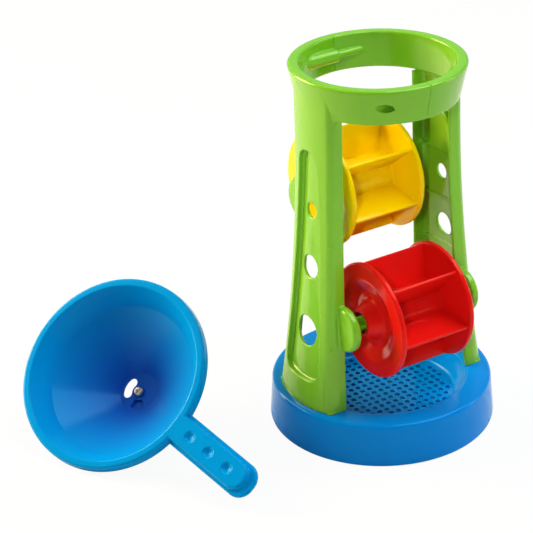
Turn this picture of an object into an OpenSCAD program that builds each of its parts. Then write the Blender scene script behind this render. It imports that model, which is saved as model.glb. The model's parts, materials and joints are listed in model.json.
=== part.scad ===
/* [Base] */
// Radius of the base where it meets the ground
base_r = 90; // [84:0.5:104]
// How much narrower the base is at its top edge
base_draft = 2.5; // [0.5:0.25:5]
// Height of the ring that the tower stands on
base_h = 35; // [30:0.5:42]
// Wall thickness of the base
base_wall = 2.6; // [2:0.1:3.4]
// Width of the flat top of the ring
ring_w = 20.5; // [19:0.5:24]
// How far the tray wall leans in on its way down
tray_lean = 7.5; // [4:0.5:10]
// Depth of the tray below the top of the ring
tray_depth = 19.5; // [14:0.5:23]
// Rounding of the ring's upper edges
ring_round = 2; // [1:0.25:2.5]
// Rounding of the base's lower edge
base_round = 1; // [0.5:0.1:1.4]
// Width of the ledge that carries the sieve
ledge_w = 3; // [2:0.5:6]

/* [Sieve] */
// Thickness of the perforated floor
sieve_t = 2.4; // [1.8:0.1:3.2]
// Diameter of one hole in the floor
sieve_hole_d = 4; // [2.8:0.1:4.6]
// Distance between the holes
sieve_pitch = 6.7; // [5.6:0.1:9]
// Gap around the edge of the floor
sieve_gap = 0.15; // [0.05:0.05:0.3]

/* [Tower] */
// Height of the tower's rim above the ground
tower_h = 300.6; // [290:0.1:320]
// Distance from the base's top edge to the leg's outer face
foot_inset = 5.7; // [4.5:0.1:8]
// Half of the width of a leg where it stands on the ring
foot_half_w = 36.8; // [32:0.1:40]
// How far a leg leans in from its foot to its waist under the collar
leg_lean = 17.05; // [12:0.05:20]
// Half of the width of a leg at its waist
waist_half_w = 24.7; // [22:0.1:28]
// Distance from the rim down to the waist
waist_drop = 32.6; // [29:0.1:40]
// Distance from the rim down to where the leg's sides become straight
side_drop = 75.6; // [60:0.1:90]
// Wall thickness of a leg's curved face
leg_wall = 2.8; // [2.2:0.1:3.4]
// Thickness of a leg's side flanges
flange_t = 2.7; // [2.2:0.1:3.4]
// Depth of a side flange at the waist
flange_top = 16.25; // [13:0.25:18]
// Depth of a side flange at the foot
flange_foot = 24; // [21:0.25:25]
// Length of the tongue that plugs into the base
tongue_h = 9; // [6:0.5:14]
// Thickness of the shoulder that rests on the ring around the tongue
tongue_step = 0.6; // [0.4:0.1:0.9]
// How far the tongue ends short of the flange's free edge
tongue_setback = 5; // [4:0.5:9]
// Gap between the tongue and its slot
tongue_gap = 0.2; // [0.1:0.05:0.3]

/* [Leg panel] */
// Height of the panel's lower edge above the ring
panel_rise = 21; // [16:0.5:28]
// Distance from the rim down to the panel's upper end
panel_drop = 57.6; // [50:0.1:66]
// Radius of the panel's round upper end
panel_top_r = 11; // [8:0.25:13]
// Radius of the panel's lower corners
panel_corner_r = 11; // [6:0.25:14]
// Half of the panel's width at its foot
panel_half_w = 21.7; // [18:0.1:25]
// Depth of the panel below the leg's face
panel_depth = 4.5; // [3:0.1:6]
// Wall thickness behind and around the panel
panel_wall = 2.4; // [1.8:0.1:3]
// Diameter of the upper round window
window_top_d = 12.2; // [8:0.1:15]
// Height of the upper round window above the ring
window_top_z = 158.5; // [150:0.5:166]
// Diameter of the middle round window
window_mid_d = 18.5; // [14:0.1:22]
// Height of the middle round window above the ring
window_mid_z = 112; // [106:0.5:118]
// Diameter of the lower round window
window_low_d = 24.3; // [20:0.1:28]
// Height of the lower round window above the ring
window_low_z = 58; // [54:0.5:64]
// Number of gussets inside a leg on each side of its panel
gusset_n = 4; // [2:1:5]
// Height of the top gusset above the ring
gusset_z = 176.5; // [160:0.5:186]
// Distance between the gussets
gusset_step = 41.5; // [34:0.5:44]
// Thickness of a gusset
gusset_t = 1.8; // [1.2:0.1:2.6]

/* [Collar] */
// Height of the collar
collar_h = 28.1; // [24:0.1:31]
// How far the rim stands out from the waist
collar_flare = 3.1; // [2:0.1:5]
// How far the collar's lower edge is set in from the waist
collar_tuck = 3.15; // [2:0.05:4]
// Distance from the waist in to the mouth of the collar
mouth_inset = 5.85; // [5:0.05:8]
// How much narrower the mouth is at its lower edge
mouth_taper = 1.7; // [0:0.1:3]
// Rounding of the rim's edges
rim_round = 2.2; // [1:0.1:3]
// Radius of a peg that joins the two tower halves
peg_r = 3.1; // [2.4:0.1:3.6]
// Gap between a peg and its socket
peg_gap = 0.1; // [0.05:0.05:0.2]
// Wall thickness around a socket
socket_wall = 2.3; // [1.6:0.1:3]
// Distance from the rim down to the pegs
peg_drop = 14; // [11:0.5:17]
// Distance from the waist in to the axis of the pegs
peg_inset = 9.5; // [8:0.5:11]
// Length of a peg past the seam
peg_len = 12; // [8:0.5:16]
// Length of the pegs' and sockets' roots beside the seam
peg_root = 32; // [26:0.5:36]

/* [Wheel bearings] */
// Radius of the upper ears that carry the stub pins
upper_ear_r = 18; // [15:0.5:20]
// Radius of the lower ears
lower_ear_r = 19; // [16:0.5:21]
// How far the middle of a lower ear stands out from its flange
lower_ear_out = 4.5; // [2:0.1:7]
// Thickness of an ear
ear_t = 7.5; // [6:0.1:9]
// How far an ear stands in past the flange's free edge
ear_lip = 0.5; // [0.3:0.1:1.5]
// Radius of the ribbed stub pins
pin_r = 6.5; // [5:0.1:7]
// Thickness of a stub pin's ribs
pin_rib = 2.8; // [2:0.1:4]
// Radial gap between a stub pin and its bearing
bearing_gap = 0.06; // [0.03:0.01:0.09]
// Gap between a stub pin's tip and the web in the hub
pin_end_gap = 0.4; // [0.2:0.05:0.8]
// Distance of both wheel axes from the tower's middle plane
axis_offset = 32; // [28:0.5:36]
// Gap between the lower wheel and the top of the ring
wheel_ground_gap = 23.2; // [12:0.1:30]
// Gap between the two wheels
wheel_gap = 16.3; // [8:0.1:22]

/* [Wheels] */
// Radius of a wheel
wheel_r = 46; // [40:0.5:48]
// Gap between a lower ear and the boss of a wheel
wheel_side_gap = 10.6; // [9:0.1:13]
// Thickness of a disc at its rim
disc_t = 4.4; // [3:0.1:5.5]
// How much closer together the discs are at the hub than at the rim
disc_lean = 5.4; // [3:0.1:6]
// Rounding of the disc's rim
disc_round = 1.8; // [0.8:0.1:2.4]
// Radius of the crease where the dished face begins
crease_r = 33; // [29:0.5:37]
// Radius of the lowest ring of the dish
dish_r = 22.5; // [20.5:0.5:26]
// Depth of the dish below the outer face
dish_depth = 5.6; // [4:0.1:6.2]
// How far the boss stands out past the outer face
boss_out = 7; // [4:0.25:8]
// Radius of the boss at its mouth
boss_r = 10.8; // [10:0.1:12]
// Radius of the boss where it leaves the dish
boss_root_r = 16; // [14:0.5:18]
// Radius of the open mouth of the boss
boss_mouth_r = 8.8; // [7.4:0.1:9.4]
// Depth of the open mouth of the boss
boss_mouth_depth = 5; // [3:0.25:8]
// Radius of the hub between the discs
hub_r = 17.5; // [16:0.25:20]
// Wall thickness of the hub
hub_wall = 2.4; // [1.8:0.1:3]
// Length of the bearing in the hub
bearing_len = 17; // [12:0.5:20]
// Wall thickness of the bearing
bearing_wall = 2.6; // [2:0.1:3.4]
// Thickness of the web behind the bearing
web_t = 2.4; // [1.6:0.1:3.2]
// Length of the spigot that joins the wheel's halves
spigot_len = 8; // [5:0.5:11]
// Gap around the spigot
spigot_gap = 0.1; // [0.05:0.05:0.2]
// Number of blades on a wheel
blade_n = 6; // [4:1:8]
// Thickness of a blade
blade_t = 2.4; // [1.6:0.1:3.2]
// How far the blades end short of the wheel's rim
blade_inset = 1.7; // [0.5:0.1:5]
// Gap between the blades and the cap
blade_gap = 0.15; // [0.1:0.05:0.3]
// Rest angle of the upper wheel
upper_turn = 19.4; // [0:0.1:60]
// Rest angle of the lower wheel
lower_turn = 8.7; // [0:0.1:60]

/* [Funnel] */
// Radius of the funnel's mouth
funnel_r = 72.6; // [66:0.1:80]
// Width of the rim around the mouth
funnel_rim_w = 6.1; // [5:0.1:8]
// Height of the skirt below the rim
skirt_h = 8; // [6:0.25:12]
// How far the skirt spreads out on its way down
skirt_draft = 0.7; // [0:0.1:1.5]
// Wall thickness of the funnel
funnel_wall = 2.4; // [1.8:0.1:3]
// Radius of the crease inside the funnel
funnel_step_r = 61.3; // [56:0.1:64]
// Depth of the crease below the mouth
funnel_step_depth = 17.9; // [14:0.1:22]
// Radius of the funnel's floor
outlet_r = 16.5; // [15:0.05:18]
// Depth of the floor below the mouth
outlet_depth = 51.8; // [46:0.1:58]
// Thickness of the floor
outlet_floor_t = 2; // [1.6:0.1:3]
// Inner radius of the spout ring around the floor
spout_in_r = 24.65; // [23:0.05:28]
// Depth of the spout's end below the floor's top
spout_len = 5.7; // [5:0.1:10]
// Mean radius of the kidney-shaped outlet
kidney_r = 10.65; // [10.2:0.05:11]
// Width of the kidney-shaped outlet
kidney_w = 7.6; // [5:0.1:8]
// How much wider the kidney's round ends are than its middle
kidney_swell = 0.1; // [0.05:0.05:0.3]
// Half of the angle that the kidney spans
kidney_half = 26; // [20:1:34]
// Direction of the kidney seen from the handle
kidney_turn = 193.2; // [185:0.1:210]
// Radius of the fan-shaped outlet's narrow end
fan_in_r = 6.9; // [6.2:0.1:8]
// Radius of the fan-shaped outlet's wide end
fan_out_r = 13.6; // [12:0.1:14.4]
// Half of the angle that the fan spans
fan_half = 26; // [16:1:30]
// Angle from the kidney to the fan
fan_step = 112; // [106:1:124]
// Direction that the funnel's mouth faces
funnel_heading = -151.7; // [-170:0.1:-130]
// Direction of the handle around the funnel
handle_turn = 68.8; // [40:0.1:90]
// Place of the funnel's mouth along the wheel axes
funnel_x = -199; // [-230:0.1:-190]
// Place of the funnel's mouth across the wheel axes
funnel_y = 83.75; // [60:0.05:110]

/* [Handle] */
// Distance of the handle's tip from the funnel's middle
handle_tip = 158.8; // [140:0.1:170]
// Width of the handle
handle_w = 27.6; // [26:0.1:30]
// Rounding of the corners at the handle's tip
handle_round = 12.4; // [9:0.1:12.8]
// Thickness of the handle's plate
handle_t = 4; // [3:0.1:5]
// Height of the raised pad on the handle
pad_h = 4; // [2:0.1:5]
// Width of the plain border beside the pad
pad_border = 3.1; // [2:0.1:4]
// Length of the plain border at the handle's tip
pad_end = 7.4; // [5:0.1:12]
// Diameter of a finger dimple
dimple_d = 9.1; // [6:0.1:10]
// Depth of a finger dimple
dimple_depth = 2.2; // [0.8:0.1:2.8]
// Number of finger dimples
dimple_n = 3; // [1:1:3]
// Distance between the finger dimples
dimple_step = 20.65; // [16:0.05:21]
// Distance from the rim to the first finger dimple
dimple_first = 12.5; // [8:0.1:14]

/* [Shutter] */
// Gap between the shutter's edge and the spout
shutter_gap = 4; // [2:0.1:5]
// Gap between the shutter and the floor
shutter_lift = 0.2; // [0.15:0.05:0.4]
// Thickness of the shutter's disc
shutter_t = 2.2; // [1.6:0.1:3]
// Thickness of the shutter's grip bar
grip_t = 3.4; // [2.4:0.1:4.5]
// Length of the shutter's grip bar
grip_len = 28; // [20:0.5:30]
// How far the grip bar stands out past the spout
grip_out = 5; // [4:0.1:7]
// Room around the outlets in the shutter's gate
gate_room = 1.3; // [0.8:0.1:1.6]
// Half of the angle that the shutter's gate spans
gate_half = 56; // [52:1:60]
// Radius of the boss that the screw taps into
screw_boss_r = 4; // [3.4:0.1:5]
// Radius of the screw's shank
screw_r = 2; // [1.5:0.1:2.2]
// How much the screw bites into its boss
screw_bite = 0.1; // [0.05:0.05:0.2]
// Radial gap of the shank in the funnel's floor
screw_gap = 0.06; // [0.03:0.01:0.09]
// Radius of the screw's head
head_r = 4.2; // [3.6:0.1:5]
// Height of the screw's head
head_h = 2.6; // [2:0.1:3.2]
// Length of the shank below the floor
screw_len = 8; // [6:0.5:9]
// Rounding of the head's upper edge
head_round = 1.5; // [0.5:0.1:1.8]
// Length of the cross recess in the head
recess_len = 5; // [3:0.1:6]
// Width of the recess in the head
recess_w = 1; // [0.8:0.1:1.2]
// Depth of the recess in the head
recess_depth = 1.2; // [0.8:0.1:1.4]

/* [Hidden] */
$fn = 96;
// Facets of the wide arcs that shape the legs
arc_fn = 900;
// Overlap where shapes merge into one moulding
bite = 1;
// Points on a rounded corner
round_n = 5;

base_top_r = base_r - base_draft;
ring_in_r = base_top_r - ring_w;
tray_r = ring_in_r - tray_lean;
floor_z = base_h - tray_depth;
ledge_z = floor_z - sieve_t;
hole_reach = tray_r - ledge_w - sieve_hole_d / 2;
hole_count = ceil(hole_reach / sieve_pitch);

foot_r = base_top_r - foot_inset;
waist_r = foot_r - leg_lean;
waist_z = tower_h - waist_drop;
side_z = tower_h - side_drop;
collar_z = tower_h - collar_h;
mouth_r = waist_r - mouth_inset;
mouth_low_r = mouth_r - mouth_taper;
leg_top = collar_z + collar_h * collar_tuck / (collar_tuck + collar_flare);
edge_waist = waist_r - flange_top;
edge_foot = foot_r - flange_foot;
// Radius of the arc that runs upright at the waist and swings out by s over the height d
function arc_of(d, s) = (d * d + s * s) / (2 * s);
lean_arc = arc_of(waist_z - base_h, foot_r - waist_r);
width_arc = arc_of(side_z - base_h, foot_half_w - waist_half_w);
edge_arc = arc_of(waist_z - base_h, edge_foot - edge_waist);
// How far such an arc has swung out at a height
function swing(arc, dz) = arc - sqrt(arc * arc - dz * dz);
function half_width(z) = waist_half_w + swing(width_arc, max(side_z - z, 0));
function free_edge_x(z) = edge_waist + swing(edge_arc, waist_z - z);
// Room beyond the legs that every cutting shape reaches
reach = 2 * foot_r;

panel_low = base_h + panel_rise;
panel_high = tower_h - panel_drop;

peg_y = waist_r - peg_inset;
peg_z = tower_h - peg_drop;
socket_r = peg_r + peg_gap + socket_wall;

lower_z = base_h + wheel_ground_gap + wheel_r;
upper_z = lower_z + sqrt(pow(2 * wheel_r + wheel_gap, 2) - pow(2 * axis_offset, 2));
// Place of the inner face of an ear with the radius r at the height z
function ear_x(z, r) = free_edge_x(z + r) - ear_lip;
upper_ear_x = ear_x(upper_z, upper_ear_r);
lower_ear_x = ear_x(lower_z, lower_ear_r);

bearing_r = pin_r + bearing_gap;
boss_x = lower_ear_x - wheel_side_gap;
wheel_half_w = boss_x - boss_out;
bearing_x1 = boss_x - boss_mouth_depth;
web_x1 = bearing_x1 - bearing_len;
web_x0 = web_x1 - web_t;
pin_tip = web_x1 + pin_end_gap;
rim_x = wheel_half_w - disc_t;
hub_in_r = hub_r - hub_wall;
dish_x = wheel_half_w - dish_depth;
blade_r = wheel_r - blade_inset;
// Distance of a disc's back from the wheel's middle at a radius
function disc_back(r) = rim_x - disc_lean * (wheel_r - r) / (wheel_r - hub_r);

skirt_r = funnel_r + funnel_rim_w + skirt_draft;
floor_under = outlet_depth + outlet_floor_t;
spout_end = outlet_depth + spout_len;
spout_r = spout_in_r + funnel_wall;
neck_r = outlet_r + funnel_wall;
// Direction of the shift from the funnel's inner to its outer face
shell_lean = 37;
shell = funnel_wall * [cos(shell_lean), -sin(shell_lean)];
// Height of the bowl's outer face at a radius
function bowl_under(r) = -floor_under + (r - neck_r) / (funnel_step_r + shell[0] - neck_r)
    * (floor_under - funnel_step_depth + shell[1]);
// The funnel lies on the edges of its skirt and its spout
funnel_tilt = atan((skirt_r - spout_r) / (spout_end - skirt_h));
funnel_z = skirt_r * cos(funnel_tilt) + skirt_h * sin(funnel_tilt);
handle_z = -skirt_h;
pad_z = handle_z + handle_t;
shutter_z = -floor_under - shutter_lift;
shutter_r = spout_in_r - shutter_gap;
screw_hole_r = screw_r + screw_gap;
head_lift = shutter_lift / 2;

// Points of the arc that rounds corner b between its neighbours a and c
function corner(a, b, c, r) = let(
        u = (a - b) / norm(a - b),
        v = (c - b) / norm(c - b),
        half = acos(u * v) / 2,
        m = b + (u + v) / norm(u + v) * r / sin(half),
        s = b + u * r / tan(half) - m,
        e = b + v * r / tan(half) - m,
        a0 = atan2(s[1], s[0]),
        d0 = atan2(e[1], e[0]) - a0,
        d = d0 > 180 ? d0 - 360 : d0 < -180 ? d0 + 360 : d0)
    [for (i = [0:round_n]) m + r * [cos(a0 + d * i / round_n), sin(a0 + d * i / round_n)]];
// Outline from corners [x, y, rounding]
function rounded(p) = let(n = len(p), xy = [for (q = p) [q[0], q[1]]])
    [for (i = [0:n - 1]) each p[i][2] > 0 ?
        corner(xy[(i + n - 1) % n], xy[i], xy[(i + 1) % n], p[i][2]) : [xy[i]]];

// Everything inside the legs' curved face, less an inset
module leg_lathe(inset, z0, z1) {
    rotate_extrude() difference() {
        translate([0, z0]) square([reach, z1 - z0]);
        translate([waist_r + lean_arc, waist_z]) circle(r = lean_arc + inset, $fn = arc_fn);
    }
}

// Everything between a leg's two side faces, less an inset
module leg_width(inset, z0, z1) {
    rotate([90, 0, 90]) linear_extrude(reach) difference() {
        translate([-reach, z0]) square([2 * reach, z1 - z0]);
        for (s = [-1, 1]) difference() {
            translate([s * (waist_half_w + width_arc), side_z]) circle(r = width_arc + inset, $fn = arc_fn);
            translate([-reach, side_z]) square([2 * reach, tower_h]);
        }
        for (s = [-1, 1]) translate([s > 0 ? waist_half_w - inset : -reach, side_z])
            square([reach - waist_half_w + inset, tower_h]);
    }
}

// Everything behind the flanges' free edges
module leg_depth() {
    rotate([90, 0, 0]) linear_extrude(2 * reach, center = true) intersection() {
        translate([0, base_h]) square([reach, tower_h]);
        translate([edge_waist + edge_arc, waist_z]) circle(r = edge_arc, $fn = arc_fn);
    }
}

// Circle r1 at c1 and circle r2 at c2 with their outer tangents
module tapered_slot(c1, r1, c2, r2) {
    d = c2 - c1;
    a = atan2(d[1], d[0]);
    t = acos((r1 - r2) / norm(d));
    translate(c1) circle(r = r1);
    translate(c2) circle(r = r2);
    polygon([for (k = [1, -1]) each k > 0 ?
        [c1 + r1 * [cos(a + t), sin(a + t)], c2 + r2 * [cos(a + t), sin(a + t)]] :
        [c2 + r2 * [cos(a - t), sin(a - t)], c1 + r1 * [cos(a - t), sin(a - t)]]]);
}

// Panel outline seen along the wheel axes, grown by a wall, as a bar through one leg
module panel_bar(grow) {
    top = [0, panel_high - panel_top_r];
    foot_y = panel_half_w - panel_corner_r;
    foot_z = panel_low + panel_corner_r;
    rotate([90, 0, 90]) linear_extrude(reach) {
        tapered_slot(top, panel_top_r + grow, [foot_y, foot_z], panel_corner_r + grow);
        tapered_slot(top, panel_top_r + grow, [-foot_y, foot_z], panel_corner_r + grow);
        polygon([top, [foot_y, foot_z], [foot_y, panel_low - grow], [-foot_y, panel_low - grow], [-foot_y, foot_z]]);
    }
}

module window(z, d) {
    translate([0, 0, base_h + z]) rotate([0, 90, 0]) cylinder(d = d, h = reach);
}

// Section of a leg's tongue, grown by a gap
module tongue_section(grow) {
    side = foot_half_w - tongue_step + grow;
    difference() {
        intersection() {
            circle(r = foot_r - tongue_step + grow);
            translate([edge_foot + tongue_setback - grow, -side]) square([reach, 2 * side]);
        }
        intersection() {
            circle(r = foot_r - leg_wall - grow);
            translate([0, -side + flange_t - tongue_step]) square([reach, 2 * (side - flange_t + tongue_step)]);
        }
    }
}

// The channel-shaped leg with its panel, windows, gussets and tongue
module leg() {
    difference() {
        union() {
            difference() {
                intersection() {
                    leg_lathe(0, base_h, leg_top);
                    leg_width(0, base_h, leg_top);
                    leg_depth();
                }
                intersection() {
                    leg_lathe(leg_wall, base_h - bite, collar_z);
                    leg_width(flange_t, base_h - bite, collar_z);
                }
                translate([0, 0, collar_z]) cylinder(r = mouth_low_r, h = collar_h);
            }
            difference() {
                intersection() {
                    leg_lathe(leg_wall / 2, base_h, collar_z);
                    panel_bar(panel_wall);
                }
                leg_lathe(panel_depth + panel_wall, base_h - bite, tower_h);
            }
            difference() {
                intersection() {
                    leg_lathe(leg_wall / 2, base_h, collar_z);
                    leg_width(flange_t / 2, base_h, collar_z);
                    for (i = [0:gusset_n - 1]) translate([0, -reach, base_h + gusset_z - i * gusset_step])
                        cube([reach, 2 * reach, gusset_t]);
                }
                leg_lathe(panel_depth + panel_wall, base_h - bite, tower_h);
            }
            translate([0, 0, base_h - tongue_h]) linear_extrude(tongue_h + bite) tongue_section(0);
        }
        difference() {
            panel_bar(0);
            leg_lathe(panel_depth, base_h - bite, tower_h);
        }
        window(window_top_z, window_top_d);
        window(window_mid_z, window_mid_d);
        window(window_low_z, window_low_d);
    }
}

module half_turn() {
    rotate([0, 0, -90]) rotate_extrude(angle = 180) children();
}

// Half of the flared ring at the top of the tower
module collar_half() {
    half_turn() polygon(rounded([[mouth_low_r, collar_z, 0], [waist_r - collar_tuck, collar_z, 0],
        [waist_r + collar_flare, tower_h, rim_round], [mouth_r, tower_h, rim_round / 2]]));
}

// Everything inside the collar's outer face, on one side of the seam
module collar_fill() {
    half_turn() polygon([[0, collar_z], [waist_r - collar_tuck, collar_z],
        [waist_r + collar_flare - bite, tower_h - rim_round], [0, tower_h - rim_round]]);
}

module along_seam(r, x0, x1) {
    for (s = [-1, 1]) translate([x0, s * peg_y, peg_z]) rotate([0, 90, 0]) cylinder(r = r, h = x1 - x0);
}

// Ear on the side s of a leg at the place x and the height z, with its middle set out from the flange
module ear(s, x, z, r, out) {
    difference() {
        translate([x, s * (half_width(z) + out), z]) rotate([0, 90, 0]) cylinder(r = r, h = ear_t);
        leg_width(flange_t / 2, base_h, tower_h);
    }
}

// Cross-ribbed stub pin that a wheel turns on, from the ear at the place x
module stub_pin(s, x, z) {
    pin_len = x + bite - pin_tip;
    translate([pin_tip, s * axis_offset, z]) rotate([0, 90, 0]) intersection() {
        cylinder(r = pin_r, h = pin_len);
        union() for (a = [0, 90]) rotate([0, 0, a])
            translate([-pin_r, -pin_rib / 2, 0]) cube([2 * pin_r, pin_rib, pin_len]);
    }
}

// What both tower halves share, with the upper ear on the side s
module tower_half(s) {
    leg();
    collar_half();
    ear(s, upper_ear_x, upper_z, upper_ear_r, 0);
    ear(-s, lower_ear_x, lower_z, lower_ear_r, lower_ear_out);
    stub_pin(s, upper_ear_x, upper_z);
    stub_pin(-s, lower_ear_x, lower_z);
}

module tower_left() {
    color([0.47, 0.7, 0.19]) rotate([0, 0, 180]) difference() {
        union() {
            tower_half(-1);
            intersection() {
                along_seam(socket_r, 0, peg_root);
                collar_fill();
            }
        }
        along_seam(peg_r + peg_gap, -bite, reach);
    }
}

module tower_right() {
    color([0.47, 0.7, 0.19]) {
        tower_half(1);
        intersection() {
            along_seam(peg_r, 0, peg_root);
            collar_fill();
        }
        along_seam(peg_r, -peg_len, bite);
    }
}

module base_ring() {
    color([0.04, 0.45, 0.77]) difference() {
        rotate_extrude() polygon(rounded([[base_r - base_wall, 0, 0], [base_r, 0, base_round],
            [base_top_r, base_h, ring_round], [ring_in_r, base_h, ring_round], [tray_r, floor_z, 0],
            [tray_r, ledge_z, 0], [tray_r - ledge_w, ledge_z, 0], [tray_r - ledge_w, ledge_z - base_wall, 0],
            [tray_r + base_wall, ledge_z - base_wall, 0], [tray_r + base_wall, floor_z, 0],
            [ring_in_r + base_wall, base_h - base_wall, 0],
            [base_top_r - base_wall, base_h - base_wall, 0]]));
        for (a = [0, 180]) rotate([0, 0, a]) translate([0, 0, base_h - base_wall - bite])
            linear_extrude(base_wall + 2 * bite) tongue_section(tongue_gap);
    }
}

module sieve_floor() {
    color([0.04, 0.45, 0.77]) translate([0, 0, ledge_z]) linear_extrude(sieve_t) difference() {
        circle(r = tray_r - sieve_gap);
        for (i = [-hole_count:hole_count], j = [-hole_count:hole_count])
            if (norm([i, j]) * sieve_pitch < hole_reach)
                translate([i, j] * sieve_pitch) circle(d = sieve_hole_d, $fn = 24);
    }
}

// One disc of a wheel with its dished face, boss, bearing and half of the hub
module wheel_disc() {
    rotate_extrude() polygon(rounded([[0, web_x0, 0], [bearing_r + bearing_wall, web_x0, 0],
        [bearing_r + bearing_wall, disc_back(hub_r), 0], [hub_in_r, disc_back(hub_r), 0], [hub_in_r, 0, 0],
        [hub_r, 0, 0], [hub_r, disc_back(hub_r), 0], [blade_r, disc_back(blade_r), 0],
        [wheel_r, rim_x, disc_round / 2], [wheel_r, wheel_half_w, disc_round], [crease_r, wheel_half_w, 0],
        [dish_r, dish_x, dish_depth], [boss_root_r, dish_x + bite, dish_depth], [boss_r, boss_x, disc_round / 2],
        [boss_mouth_r, boss_x, 0], [boss_mouth_r, bearing_x1 + bite, 0], [bearing_r, bearing_x1, 0],
        [bearing_r, web_x1, 0], [0, web_x1, 0]]));
}

// Blade from the hub to near the rim, between the backs of the two discs
module blade() {
    near = hub_r + blade_gap;
    rotate([90, 0, 0]) linear_extrude(blade_t, center = true) polygon([
        [near, blade_gap - disc_back(near)], [blade_r, blade_gap - disc_back(blade_r)],
        [blade_r, disc_back(blade_r) + bite], [hub_r - hub_wall / 2, disc_back(hub_r) + bite],
        [hub_r - hub_wall / 2, blade_gap], [near, blade_gap]]);
}

module wheel_rotor(turn) {
    spigot_r = hub_in_r - spigot_gap;
    rotate([0, 90, 0]) {
        wheel_disc();
        for (i = [0:blade_n - 1]) rotate([0, 0, 90 + turn + i * 360 / blade_n]) blade();
        rotate_extrude() polygon([[spigot_r - hub_wall, -spigot_len], [spigot_r, -spigot_len], [spigot_r, 0],
            [hub_in_r + hub_wall / 2, 0], [hub_in_r + hub_wall / 2, spigot_len], [spigot_r - hub_wall, spigot_len]]);
    }
}

module wheel_cap() {
    rotate([0, -90, 0]) wheel_disc();
}

module at_upper() {
    translate([0, axis_offset, upper_z]) children();
}

module at_lower() {
    translate([0, -axis_offset, lower_z]) children();
}

module upper_wheel_rotor() {
    color([0.98, 0.76, 0.02]) at_upper() wheel_rotor(upper_turn);
}

module upper_wheel_cap() {
    color([0.98, 0.76, 0.02]) at_upper() wheel_cap();
}

module lower_wheel_rotor() {
    color([0.82, 0.1, 0.09]) at_lower() wheel_rotor(lower_turn);
}

module lower_wheel_cap() {
    color([0.82, 0.1, 0.09]) at_lower() wheel_cap();
}

// Places a shape that is drawn with the funnel's mouth level and its handle along X
module lay_funnel() {
    translate([funnel_x, funnel_y, funnel_z]) rotate([0, 90 - funnel_tilt, funnel_heading])
        rotate([0, 0, handle_turn]) children();
}

// Ring sector with square ends
module sector(r0, r1, half) {
    intersection() {
        difference() {
            circle(r = r1);
            circle(r = r0);
        }
        polygon([[0, 0], 2 * r1 * [cos(half), -sin(half)], [2 * r1, 0], 2 * r1 * [cos(half), sin(half)]]);
    }
}

// Kidney-shaped outlet with round ends
module kidney() {
    rotate([0, 0, kidney_turn]) {
        sector(kidney_r - kidney_w / 2, kidney_r + kidney_w / 2, kidney_half);
        for (s = [-1, 1]) rotate([0, 0, s * kidney_half]) translate([kidney_r, 0]) circle(d = kidney_w + kidney_swell);
    }
}

module fan() {
    rotate([0, 0, kidney_turn + fan_step]) sector(fan_in_r, fan_out_r, fan_half);
}

// Bowl, floor, spout and rolled rim
module funnel_bowl() {
    rim_r = funnel_r + funnel_rim_w;
    mouth = [funnel_r, 0];
    crease = [funnel_step_r, -funnel_step_depth];
    rotate_extrude() polygon(rounded([
        [0, -outlet_depth, 0], [outlet_r, -outlet_depth, 0], [crease[0], crease[1], 0], [mouth[0], mouth[1], 0],
        [rim_r, 0, funnel_wall], [skirt_r, -skirt_h, 0], [skirt_r - funnel_wall, -skirt_h, 0],
        [rim_r - funnel_wall, -funnel_wall, 0], [(mouth + shell)[0], -funnel_wall, 0],
        [(crease + shell)[0], (crease + shell)[1], 0], [spout_r, bowl_under(spout_r), 0],
        [spout_r, -spout_end, 0], [spout_in_r, -spout_end, 0], [spout_in_r, bowl_under(spout_in_r), 0],
        [neck_r, -floor_under, 0], [0, -floor_under, 0]]));
}

// Handle outline, drawn in from its edge by a border and from its tip by an end
module handle_outline(border, end) {
    root = funnel_r + funnel_rim_w / 2;
    tip = handle_tip - end;
    half = handle_w / 2 - border;
    r = handle_round - border;
    translate([root, -half]) square([tip - r - root, 2 * half]);
    translate([tip - 2 * r, r - half]) square([2 * r, 2 * (half - r)]);
    for (s = [-1, 1]) translate([tip - r, s * (half - r)]) circle(r = r);
}

module handle() {
    ball_r = (pow(dimple_d / 2, 2) + pow(dimple_depth, 2)) / (2 * dimple_depth);
    translate([0, 0, handle_z]) linear_extrude(handle_t) handle_outline(0, 0);
    difference() {
        translate([0, 0, pad_z - bite]) linear_extrude(pad_h + bite) handle_outline(pad_border, pad_end);
        for (i = [0:dimple_n - 1]) translate([skirt_r + dimple_first + i * dimple_step, 0,
            pad_z + pad_h + ball_r - dimple_depth]) sphere(r = ball_r);
    }
}

module funnel() {
    color([0.02, 0.5, 0.8]) lay_funnel() {
        difference() {
            funnel_bowl();
            translate([0, 0, -floor_under - bite]) linear_extrude(outlet_floor_t + 2 * bite) {
                kidney();
                fan();
                circle(r = screw_hole_r);
            }
        }
        handle();
    }
}

module shutter() {
    grip_z = -spout_end - grip_out;
    color([0.02, 0.42, 0.7]) lay_funnel() difference() {
        union() {
            translate([0, 0, shutter_z - shutter_t]) linear_extrude(shutter_t) difference() {
                circle(r = shutter_r);
                rotate([0, 0, kidney_turn])
                    sector(kidney_r - kidney_w / 2 - gate_room, outlet_r + gate_room, gate_half);
            }
            translate([0, 0, grip_z]) cylinder(r = screw_boss_r, h = shutter_z - shutter_t - grip_z + bite);
            rotate([0, 0, kidney_turn + 90]) translate([-grip_len / 2, -grip_t / 2, grip_z])
                cube([grip_len, grip_t, shutter_z - shutter_t - grip_z + bite]);
        }
        translate([0, 0, -floor_under - screw_len]) cylinder(r = screw_r - screw_bite, h = screw_len);
    }
}

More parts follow.
